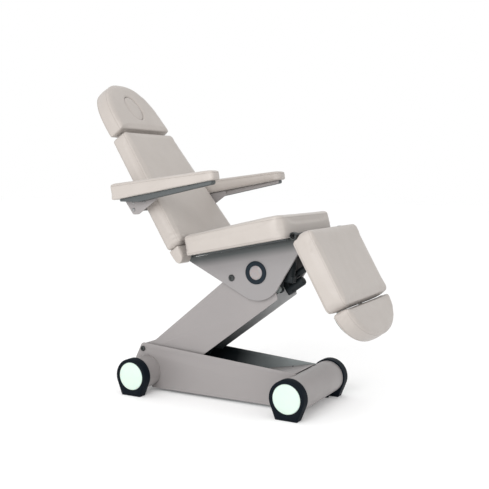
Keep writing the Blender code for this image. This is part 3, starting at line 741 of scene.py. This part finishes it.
def sew(item, groove):
    """A fine cord in the bottom of a seam, and a row of stitches beside it where it has them."""
    faces = [tuple(f.vertices) for f in item.data.polygons]
    tree = BVHTree.FromPolygons([v.co for v in item.data.vertices], faces)
    outline = groove["outline"]
    count = len(outline)
    cx = sum(p[0] for p in outline) / count
    cy = sum(p[1] for p in outline) / count

    def found(i, shift):
        x, y = outline[i % count]
        ax, ay = outline[(i - 1) % count]
        bx, by = outline[(i + 1) % count]
        out = Vector((by - ay, -(bx - ax), 0.0)).normalized()
        if out.x * (x - cx) + out.y * (y - cy) < 0:
            out = -out
        origin = Vector((x, y, seam_level(groove, (x, y)) + shift)) + out * 0.05
        hit, normal, _, _ = tree.ray_cast(origin, -out, 0.12)
        return hit, normal

    cord_points = [found(i, 0.0) for i in range(count)]
    cord = seam_cord(item.name + "_" + groove["name"] + "_seam", cord_points)
    if not groove["stitches"]:
        return cord, None
    bm = bmesh.new()
    for i in range(count):
        a, normal = found(i, STITCH_GAP)
        b, _ = found(i + 1, STITCH_GAP)
        if a is None or b is None or (b - a).length > 0.02 or (b - a).length < 1e-4:
            continue
        add_stitch(bm, a, b, normal)
    return cord, finished(item.name + "_" + groove["name"] + "_stitches", bm, MAT["thread"], smooth=0)


def thread_ring(bm, middle, across, normal, radius, sides=6):
    """The points round a thread that runs at right angles to across and normal."""
    turns = [pi * 2 * k / sides for k in range(sides)]
    return [bm.verts.new(middle + (across * cos(q) + normal * sin(q)) * radius) for q in turns]


def add_stitch(bm, a, b, normal):
    """One stitch: a short spindle that dips into the cover at both ends."""
    along = b - a
    length = along.length
    along.normalize()
    across = normal.cross(along).normalized()
    rings = []
    sunk, proud = -0.0003, 0.0002
    for t, size, lift in ((0.10, 0.25, sunk), (0.28, 1.0, proud), (0.62, 1.0, proud), (0.80, 0.25, sunk)):
        middle = a + along * (length * t) + normal * lift
        rings.append(thread_ring(bm, middle, across, normal, STITCH * size))
    bridge(bm, rings)
    bm.faces.new(list(reversed(rings[0])))
    bm.faces.new(rings[-1])


def seam_cord(name, points):
    """A closed thin cord through surface points (hit, normal)."""
    good = [(h, n) for h, n in points if h is not None]
    bm = bmesh.new()
    rings = []
    count = len(good)
    for i, (point, normal) in enumerate(good):
        along = (good[(i + 1) % count][0] - good[i - 1][0]).normalized()
        across = normal.cross(along).normalized()
        rings.append(thread_ring(bm, point, across, normal, CORD))
    bridge(bm, rings + rings[:1])
    return finished(name, bm, MAT["seam"], smooth=0)


def edge_seams(p, plan, top, bottom, lower_plan=None):
    """The seams round a pad's top and round its underside, at those levels."""
    seam(p, "top", plan, top, depth=0.0006)
    seam(p, "bottom", lower_plan or plan, bottom, depth=0.0008, width=0.0030)


SIDES = (("right", -1), ("left", 1))
BOARD_LEVEL = -0.0075  # underside of the padding above its board
HEAD_LEVEL = -0.010  # the headrest's own frame lies this much below its hinge's axis


def seat_pad():
    """Level under and slightly crowned above, with full edges and softly rounded front corners."""
    low, half, rear, front = 0.142, 0.2985, -0.2915, 0.2735
    profile = rounded([(rear, low, 0.004), (front, low, 0.010), (front, low + 0.113, 0.016),
                       (0.170, low + 0.114, 0.120), (0.040, low + 0.111, 0.200), (rear, low + 0.101, 0.010)])
    plan = rounded([(rear, -half, 0.010), (front, -half, 0.050), (front, half, 0.034), (rear, half, 0.010)])
    p = pad("seat_pad", [prism(profile, -half, half), prism(plan, 0.0, 0.4, "Z")], "seat", "seat",
            ["seat_cushion"], ((-0.2955, -0.302, low), (0.2775, 0.302, low + 0.1175)),
            lambda co: co.z < low + HELD)
    edge_seams(p, plan, lambda point: low + 0.100 - 0.006 * ((point[0] - 0.10) / 0.30) ** 2, low + 0.010)
    fold(p, (0.262, 0.285, low + 0.045), 0.035, (0.2, 0.0, 1.0), 0.024, 0.0006)
    fold(p, (-0.275, 0.290, low + 0.030), 0.030, (0.3, 0.0, 1.0), 0.022, 0.0005)
    fold(p, (0.020, 0.302, low + 0.006), 0.014, (1.0, 0.0, 0.3), 0.016, 0.0018)


def back_pad():
    """The long backrest pad, narrower towards the head and creased near the seat."""
    plan = rounded([(-0.7465, -0.2255, 0.022), (-0.0475, -0.2975, 0.014), (-0.0475, 0.2975, 0.014),
                    (-0.7465, 0.2255, 0.022)])
    p = pad("back_pad", [prism(plan, BOARD_LEVEL, 0.0835, "Z")], "back", "back", ["back_cushion"],
            ((-0.7525, -0.301, BOARD_LEVEL), (-0.0445, 0.301, 0.0905)), lambda co: co.z < BOARD_LEVEL + HELD)
    edge_seams(p, plan, 0.074, BOARD_LEVEL + 0.009)
    fold(p, (-0.070, 0.285, 0.060), 0.050, (1.0, 0.6, 0.0), 0.030, 0.0018)
    fold(p, (-0.055, 0.280, 0.020), 0.040, (0.3, 0.0, 1.0), 0.026, 0.0010)


def back_roll():
    """The padded lower end of the backrest's sides, which tapers to a rounded tip behind the seat."""
    profile = rounded([(-0.0430, -0.0095, 0.002), (0.018, -0.0075, 0.012), (0.0375, 0.0090, 0.011),
                       (0.022, 0.040, 0.020), (-0.0430, 0.0545, 0.004)])
    strap = rounded([(-0.0430, 0.0345, 0.002), (0.014, 0.0345, 0.005), (0.012, 0.0525, 0.005),
                     (-0.0430, 0.0525, 0.002)])
    inner, outer, overlap = 0.196, 0.289, 0.014
    p = pad("back_roll", [prism(profile, -outer, -inner), ("UNION", prism(profile, inner, outer)),
                          ("UNION", prism(strap, -inner - overlap, inner + overlap))],
            "back", "back", ["back_hinge_cover"],
            ((-0.0440, -0.2925, -0.0105), (0.0390, 0.2925, 0.0560)), lambda co: co.x < -0.036,
            cap=0.003, edge=0.0025, voxel=0.004, fill=0.5)
    fold(p, (-0.020, 0.290, 0.020), 0.030, (1.0, 0.0, 0.5), 0.016, 0.0008)


def head_pad():
    """The D-shaped headrest, with an oval opening for the face and the plug that fills it."""
    under, top = HEAD_LEVEL + BOARD_LEVEL, HEAD_LEVEL + 0.086
    near, tip, half = -0.0110, -0.3275, 0.2235
    hole = (-0.160, 0.0)
    plan = d_outline(near, tip, half, 2.5, 48)
    p = pad("head_pad", [prism(plan, under, top - 0.003, "Z")], "head", "head", ["head_cushion"],
            ((-0.3315, -0.2265, under), (-0.0060, 0.2285, top + 0.0035)), lambda co: co.z < under + HELD)
    edge_seams(p, plan, top - 0.016, under + 0.009)
    p["hole"] = (hole, 0.0818, 0.0628)
    long, wide = 0.0802, 0.0612
    outline = ellipse(hole, long - 0.0027, wide - 0.0027, 72)
    pad("face_plug_pad", [prism(outline, HEAD_LEVEL - 0.0190, top - 0.003, "Z")], "head",
        "face_plug", ["face_plug"],
        ((hole[0] - long, -wide, HEAD_LEVEL - 0.0200), (hole[0] + long, wide, top + 0.0020)),
        lambda co: co.z < under + 0.020, cap=0.003, edge=0.005, voxel=0.004, fill=0.8)


def leg_pad():
    """Padding that also wraps round the edges of its board, hollowed at the knee for the hinge."""
    near, far, half, board = 0.0050, 0.4030, 0.2985, -0.0180
    radius, hollow = 0.030, 0.0240

    def plan(start):
        corners = ((start, -half), (far, -half), (far, half), (start, half))
        return rounded([(x, y, radius) for x, y in corners])

    profile = rounded([(near, BOARD_LEVEL, 0), (0.031, BOARD_LEVEL, 0.004), (0.031, board, 0.004),
                       (far, board, 0.006), (far, 0.0885, 0.012), (near, 0.0885, 0.014)])
    groove = lathe([(0, -0.4), (hollow, -0.4), (hollow, 0.4), (0, 0.4)], sides=48)
    shapes = [prism(profile, -half, half), prism(plan(near), -0.1, 0.2, "Z"), ("DIFFERENCE", groove)]
    p = pad("leg_pad", shapes, "leg", "leg", ["leg_cushion", "leg_board"],
            ((0.0015, -0.302, board - 0.0015), (0.4065, 0.302, 0.0935)),
            lambda co: co.z < board + HELD or hypot(co.x, co.z) < hollow + 0.003)
    edge_seams(p, plan(near), 0.0780, board + 0.010, plan(0.040))
    fold(p, (0.045, 0.285, 0.045), 0.045, (1.0, -0.5, 0.4), 0.028, 0.0009)


def foot_pad():
    """The D-shaped foot rest."""
    plan = d_outline(0.4140, 0.5895, 0.2835, 2.1, 48)
    p = pad("foot_pad", [prism(plan, -0.0010, 0.0825, "Z")], "foot", "foot", ["foot_cushion"],
            ((0.4110, -0.2870, -0.0010), (0.5930, 0.2870, 0.0870)), lambda co: co.z < 0.003)
    edge_seams(p, plan, 0.0720, 0.0090)
    fold(p, (0.425, 0.262, 0.040), 0.040, (1.0, 0.4, 0.3), 0.020, 0.0012)


def armrest_pads():
    """Wedge-shaped pads, thinner towards their rounded front ends, with a stitched seam near the top."""
    for side, sign in SIDES:
        profile = rounded([(-0.091, 0.0624, 0.004), (0.524, 0.0776, 0.008), (0.528, 0.1230, 0.010),
                           (-0.091, 0.1440, 0.008)])
        inner, outer = sign * 0.3105, sign * 0.4005
        plan = rounded([(-0.091, inner, 0.006), (0.528, inner, 0.036), (0.528, outer, 0.024),
                        (-0.091, outer, 0.006)])
        low, high = sorted((sign * 0.3085, sign * 0.4030))
        shapes = [prism(profile, *sorted((inner, outer))), prism(plan, 0.0, 0.3, "Z")]
        p = pad("armrest_" + side + "_pad", shapes, "armrest", "armrest_" + side,
                ["armrest_pad_" + side], ((-0.0935, low, 0.0624), (0.5310, high, 0.1465)),
                lambda co: co.z < 0.066 + 0.0253 * (co.x + 0.090), cap=0.003)
        seam(p, "top", plan, lambda point: 0.1330 - 0.0330 * (point[0] + 0.090), depth=0.0012, width=0.0028,
             stitches=True)


# ---- stage and light
def make_stage():
    """A wide, pale floor."""
    bm = bmesh.new()
    bmesh.ops.create_grid(bm, x_segments=1, y_segments=1, size=30.0)
    g = Graph("pale_floor")
    cloud = g.spread(g.noise(0.8, 3.0), 0.3, 0.7)
    g.set(Base_Color=g.blend(cloud, (0.90, 0.90, 0.90), (0.92, 0.92, 0.92)), Roughness=0.9,
          Specular_IOR_Level=0.1, Emission_Color=(1.0, 1.0, 1.0), Emission_Strength=0.10)
    floor = finished("floor", bm, g.material, smooth=0)


def make_light():
    """An even white studio, and one large soft light from the front."""
    world = bpy.data.worlds.new("studio")
    world.use_nodes = True
    background = world.node_tree.nodes["Background"].inputs
    background["Color"].default_value = (1.0, 1.0, 1.0, 1.0)
    background["Strength"].default_value = 1.0
    SCENE.world = world
    SCENE.view_settings.view_transform = "Standard"
    at, towards = Vector((0.5, -3.6, 2.3)), Vector((0.0, 0.0, 0.8))
    data = bpy.data.lights.new("key", "AREA")
    data.shape = "RECTANGLE"
    data.size = data.size_y = 2.4
    data.energy = 92.0
    light = bpy.data.objects.new("key", data)
    light.location = at
    light.rotation_mode = "QUATERNION"
    light.rotation_quaternion = (towards - at).to_track_quat("-Z", "Y")
    SCENE.collection.objects.link(light)


# ---- hard parts
SPINE_HALF = 0.128  # half the widths over the base's panels, the lifting arm and the cheeks
ARM_HALF = 0.114
CHEEK_HALF = 0.1335
SHEET = 0.005  # sheet thicknesses of panels and cheeks, and of the arm
ARM_SHEET = 0.004
TOUCH = 0.0004  # gap between a fitting and the sheet behind it
FOOT_AXIS = 0.106  # height of the cross tubes' axes
FOOT_RADIUS = 0.0935
FOOT_FLAT = 0.058  # half the length that stands on the floor
FOOT_DEPTH = 0.051
FOOT_OUTER = 0.284  # half the width over the feet
LENS_RADIUS = 0.0743
TUBE_RADIUS = 0.0855
TUBE_WALL = 0.003


def middle_of(node):
    low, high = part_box(node)
    return (Vector(low) + Vector(high)) / 2


def shade_insides(item, within, material):
    """Gives the faces that look inwards, closer to the middle plane than within, a material of painted
    shade.
    """
    item.data.materials.append(material)
    for face in item.data.polygons:
        outwards = abs(face.normal.y) > 0.5 and face.normal.y * face.center.y > 0
        if abs(face.center.y) < within and not outwards:
            face.material_index = 1


def sheet_metal():
    """The CAD's panels, arm, cheeks, boards and frames, with rounded edges and their own finishes, and
    painted shade inside the base and the arm, on the cheeks under the seat and on the seat frame.
    """
    shade_margin = 0.0008
    for side, _ in SIDES:
        item = refined("base_side_panel_" + side, MAT["paint"], 0.0010)
        # painted shade on the panel's inner faces
        shade_insides(item, SPINE_HALF - SHEET + shade_margin, MAT["panel_inside"])
        # the cheeks carry the seat's painted shadow
        refined("cheek_plate_" + side, MAT["cheek"], 0.0010)
    # painted shade over the floor plate
    shade_insides(refined("base_floor_plate", MAT["paint"], 0.0008), 1.0, MAT["panel_inside"])
    refined("base_front_cover", MAT["paint"], 0.0008)
    # painted light and shade on the arm's inner faces
    shade_insides(refined("lift_arm", MAT["paint"], 0.0010), ARM_HALF - ARM_SHEET + shade_margin, MAT["arm_inside"])
    for node in ("base_bracket", "leg_frame", "foot_carriage", "seat_carrier", "back_frame"):
        refined(node, MAT["bracket"], 0.0008, 2)
    # the seat frame is painted dark, as shade under the seat
    refined("seat_frame", MAT["tray"], 0.0008, 2)
    for node in ("head_hinge_bracket", "head_hinge_strap", "levelling_rod"):
        refined(node, MAT["dark_steel"], 0.0008, 2)
    refined("armrest_axle", MAT["steel"], 0.0010, 2)
    refined("back_hinge_pin", MAT["dark_steel"], 0.0010, 2)
    refined("leg_hinge_rod", MAT["dark_steel"], 0.0006, 2)
    for node in ("back_board", "head_board"):
        refined(node, MAT["board"], 0.0012, 2)


def cheek_flanges():
    """The cheeks' front edges are folded inwards, from under the seat to the lowest part of the curve."""
    place = section("seat")
    top, bow, sheet, edge = 0.1325, 0.1408, 0.0024, 0.0012
    for side, sign in SIDES:
        path = [(0.2990, top - 0.006), (0.2985, top - 0.016)]
        path += arc((0.0, 0.0), bow, bow, range(-39, -112, -4))
        inner, outer = sign * 0.1168, sign * (CHEEK_HALF - SHEET + TOUCH)
        bm = bmesh.new()
        rows = []
        for i, (x, z) in enumerate(path):
            ax, az = path[max(i - 1, 0)]
            bx, bz = path[min(i + 1, len(path) - 1)]
            along = Vector((bx - ax, 0.0, bz - az)).normalized()
            inwards = Vector((along.z, 0.0, -along.x))
            if inwards.x * x + inwards.z * z > 0:
                inwards = -inwards
            ring = [(0.0, outer), (0.0, inner + sign * edge), (edge, inner), (sheet, inner + sign * edge),
                    (sheet, outer)]
            rows.append([bm.verts.new(Vector((x, y, z)) + inwards * depth) for depth, y in ring])
        bridge(bm, rows)
        bm.faces.new(rows[0])
        bm.faces.new(list(reversed(rows[-1])))
        item = finished("cheek_flange_" + side, bm, MAT["paint"], place)
        placed(item, "seat", slot="painted_metal")


def bolt_head(name, at, y, sizes, body, node):
    """A dark cap screw's head on the outside of a sheet; sizes are its radius, height and socket."""
    bm = screw_head(bmesh.new(), facing((at.x, y, at.z), (0, y, 0)), *sizes)
    placed(finished(name, bm, MAT["dark_steel"], smooth=30), body, node, slot="steel")


def fasteners():
    """Bolt heads on the outsides of panels and cheeks, the arm's shaft, and the ends of the knee's tube."""
    arm = pivot("lift_arm_hinge")
    for side, sign in SIDES:
        bolt_head("arm_pivot_bolt_" + side, arm, sign * (SPINE_HALF + TOUCH), (0.0145, 0.0075, 0.0060),
                  "base", "arm_pivot_pin")
        node = "cheek_bolt_" + side
        bolt_head("cheek_bolt_head_" + side, middle_of(node), sign * (CHEEK_HALF + TOUCH),
                  (0.0172, 0.0072, 0.0074), "seat", node)
    radius, reach = 0.0095, SPINE_HALF
    bm = lathe([(0, -reach), (radius, -reach), (radius, reach), (0, reach)], (arm.x, arm.z), sides=48)
    placed(finished("arm_pivot_shaft", bm, MAT["steel"]), "base", slot="steel")
    knee = pivot("leg_hinge")
    root, end, rim = 0.2700, 0.2955, 0.0010
    outer, inner = 0.0185, 0.0135
    profile = [(outer, root), (outer, end - rim), (outer - rim, end), (inner + rim, end), (inner, end - rim),
               (inner, root)]
    for side, sign in SIDES:
        bm = lathe(profile, (knee.x, knee.z), 64, sign)
        item = finished("knee_tube_end_" + side, bm, MAT["dark_steel"])
        placed(item, NODES["leg_hinge_rod"]["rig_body"], slot="steel")


def cover_screws():
    """Two small screws in the sloping front cover."""
    low, high = (Vector(c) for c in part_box("base_front_cover"))
    sheet, back, aside = 0.003, 0.115, 0.100
    slope = (high.z - low.z - sheet) / (high.x - low.x)
    bm = bmesh.new()
    for _, sign in SIDES:
        at = (high.x - back, sign * aside, high.z - back * slope)
        screw_head(bm, facing(at, (-slope, 0, 1)), 0.0048, 0.0028, 0.0022)
    placed(finished("front_cover_screws", bm, MAT["dark_steel"], smooth=30), "base", slot="steel")


def armrest_trays():
    """Each armrest's folded channel, and the bracket that hangs it on its axle, with three screws. The
    channel is painted dark as shade under its pad, except its faces towards the middle.
    """
    place = section("armrest")
    bracket_inner, bracket_outer, channel_outer = 0.3340, 0.3400, 0.383
    on_bracket = bracket_outer + 0.0002
    screws = ((0.0, 0.0, 0.0085, 0.3447), (0.004, 0.034, 0.0052, on_bracket),
              (0.075, 0.030, 0.0052, on_bracket))
    for side, sign in SIDES:
        node = "armrest_tray_" + side
        tray = rounded([(-0.048, 0.0620, 0), (-0.048, 0.0500, 0.006), (0.060, 0.0340, 0.02),
                        (0.508, 0.0590, 0.01), (0.508, 0.0765, 0)])
        bm = prism(tray, *sorted((sign * (bracket_outer + 0.0005), sign * channel_outer)))
        item = finished(node + "_channel", bm, MAT["tray"], place)
        bevelled(item, 0.0016)
        # faces towards the middle get the plain paint; the channel's other faces are painted dark, as shade
        # under the pad
        item.data.materials.append(MAT["paint"])
        for face in item.data.polygons:
            if face.normal.y * sign < -0.4:
                face.material_index = 1
        placed(item, "armrest_" + side, node, slot="painted_metal")
        ear = rounded([(-0.048, 0.0615, 0), (-0.048, 0.0520, 0.004), (-0.008, -0.024, 0.018),
                       (0.026, -0.027, 0.018), (0.166, 0.0420, 0.004), (0.166, 0.0660, 0)])
        bm = prism(ear, *sorted((sign * bracket_inner, sign * bracket_outer)))
        item = finished(node + "_bracket", bm, MAT["paint"], place)
        placed(bevelled(item, 0.0012), "armrest_" + side, node, slot="painted_metal")
        bm = bmesh.new()
        for x, z, radius, reach in screws:
            screw_head(bm, place @ facing((x, sign * reach, z), (0, sign, 0)), radius, 0.0030, radius * 0.42)
        item = finished(node + "_screws", bm, MAT["steel"], smooth=30)
        placed(item, "armrest_" + side, slot="steel")


def foot_radius(angle):
    """Distance from a foot's axis to its outline: round above, flat on the floor, straight between."""
    corner = hypot(FOOT_FLAT, FOOT_AXIS)
    corner_angle = atan2(FOOT_AXIS, FOOT_FLAT)
    tangent = corner_angle - acos(FOOT_RADIUS / corner)
    down = asin(max(-1.0, min(1.0, -sin(angle))))
    if down <= tangent:
        return FOOT_RADIUS
    if down < corner_angle:
        return FOOT_RADIUS / cos(down - tangent)
    return FOOT_AXIS / sin(down)


def foot_angles():
    """Directions round a foot's outline, evenly spread, but with its two floor corners met exactly."""
    corner = atan2(FOOT_AXIS, FOOT_FLAT)
    angles = [2 * pi * i / 120 for i in range(120)]
    angles = [a for a in angles if min(abs(sin(a + corner)), abs(sin(a - corner))) > 0.02
              or sin(a) > 0]
    angles += [-corner % (2 * pi), (pi + corner) % (2 * pi)]
    return sorted(angles)


def foot_shell(x, sign):
    """One foot: its outline with a rounded rim, and the round recess that holds the lens."""
    angles = foot_angles()
    rim = 0.0045
    hole = LENS_RADIUS + 0.0012
    bm = bmesh.new()

    def loop(radii, depth):
        y = sign * (FOOT_OUTER - depth)
        return [bm.verts.new((x + radius * cos(a), y, max(FOOT_AXIS + radius * sin(a), 0.0)))
                for a, radius in zip(angles, radii)]

    loops = [loop([foot_radius(a) - inset for a in angles], depth)
             for inset, depth in ((0.0, FOOT_DEPTH), (0.0, rim), (0.0013, rim * 0.35), (rim, 0.0))]
    loops += [loop([hole + more] * len(angles), depth)
              for more, depth in ((0.0035, 0.0), (0.0010, 0.0008), (0.0, 0.0030), (0.0, FOOT_DEPTH))]
    bridge(bm, loops + loops[:1])
    return bm


def lens(x, sign):
    """A slightly domed disc with a rounded edge."""
    face, edge = FOOT_OUTER - 0.0016, 0.004
    profile = [(0, face - 0.0124), (LENS_RADIUS, face - 0.0124)]
    profile += arc((LENS_RADIUS - edge, face - 0.005), edge, 0.003, (0, 30, 60, 90))
    profile += [(0.045, face - 0.0008), (0.020, face - 0.0002), (0, face)]
    return lathe(profile, (x, FOOT_AXIS), 120, sign)


def glide():
    """A levelling glide under the base: a round pad on a stem."""
    round_pad, stem, pad_top, top = 0.017, 0.009, 0.014, 0.0212
    return lathe([(0, 0.0), (round_pad - 0.002, 0.0), (round_pad, 0.002), (round_pad, pad_top),
                  (stem, pad_top), (stem, top), (0, top)], sides=40)


def feet():
    """The cross tubes, the dark moulded feet that close their ends, their milky lenses, and four glides."""
    upright = Matrix.Rotation(radians(90), 4, "X")
    reach = FOOT_OUTER - FOOT_DEPTH - TOUCH
    bore = TUBE_RADIUS - TUBE_WALL
    for end in ("front", "rear"):
        x = middle_of(end + "_cross_tube").x
        profile = [(TUBE_RADIUS, -reach), (TUBE_RADIUS, reach), (bore, reach), (bore, -reach)]
        item = finished(end + "_tube_finished", lathe(profile, (x, FOOT_AXIS), 144), MAT["paint"])
        placed(item, "base", end + "_cross_tube", slot="painted_metal")
        for side, sign in SIDES:
            name = f"foot_ring_{end}_{side}"
            item = finished(name + "_finished", foot_shell(x, sign), MAT["rubber"], smooth=40)
            placed(item, "base", name, slot="dark_plastic")
            name = f"foot_lens_{end}_{side}"
            item = finished(name + "_finished", lens(x, sign), MAT["lens"], smooth=40)
            placed(item, "base", name, slot="pale_lens")
            stand = Matrix.Translation((x, sign * 0.205, 0.0)) @ upright
            item = finished(f"glide_{end}_{side}", glide(), MAT["rubber"], stand)
            placed(item, "base", slot="dark_plastic")


def badges():
    """A plain round badge on each cheek: a dark ring with rounded edges round a pale centre."""
    at = pivot("seat_tilt")
    near = CHEEK_HALF + TOUCH
    inner, outer = 0.0012, 0.0038
    ring = [(0.0366, near), (0.0366, near + 0.0046)]
    ring += arc((0.0385, near + 0.0050), -inner, inner, (0, 45, 90))
    ring += arc((0.0550, near + 0.0024), outer, outer, (90, 68, 45, 22, 0))
    ring += [(0.0588, near)]
    centre = [(0, near), (0.0358, near), (0.0358, near + 0.0024), (0.0340, near + 0.0036),
              (0.0200, near + 0.0047), (0, near + 0.0052)]
    for side, sign in SIDES:
        bm = lathe(ring, (at.x, at.z), 120, sign)
        item = finished("badge_ring_" + side + "_finished", bm, MAT["navy"], smooth=40)
        placed(item, "seat", "badge_ring_" + side, slot="dark_plastic")
        bm = lathe(centre, (at.x, at.z), 96, sign)
        item = finished("badge_centre_" + side, bm, MAT["badge"], smooth=40)
        placed(item, "seat", "badge_lens_" + side, slot="badge_centre")


def drives():
    """The four linear drives: dark moulded housings and ground rods."""
    for name in ("lift", "leg", "back", "tilt"):
        refined(name + "_actuator", MAT["motor"])
        refined(name + "_actuator_rod", MAT["chrome"], 0.0008, 2)


make_camera()
make_stage()
make_light()
seat_pad()
back_pad()
back_roll()
head_pad()
leg_pad()
foot_pad()
armrest_pads()
inflate_pads()
finish_pads()
sheet_metal()
cheek_flanges()
fasteners()
cover_screws()
armrest_trays()
feet()
badges()
drives()
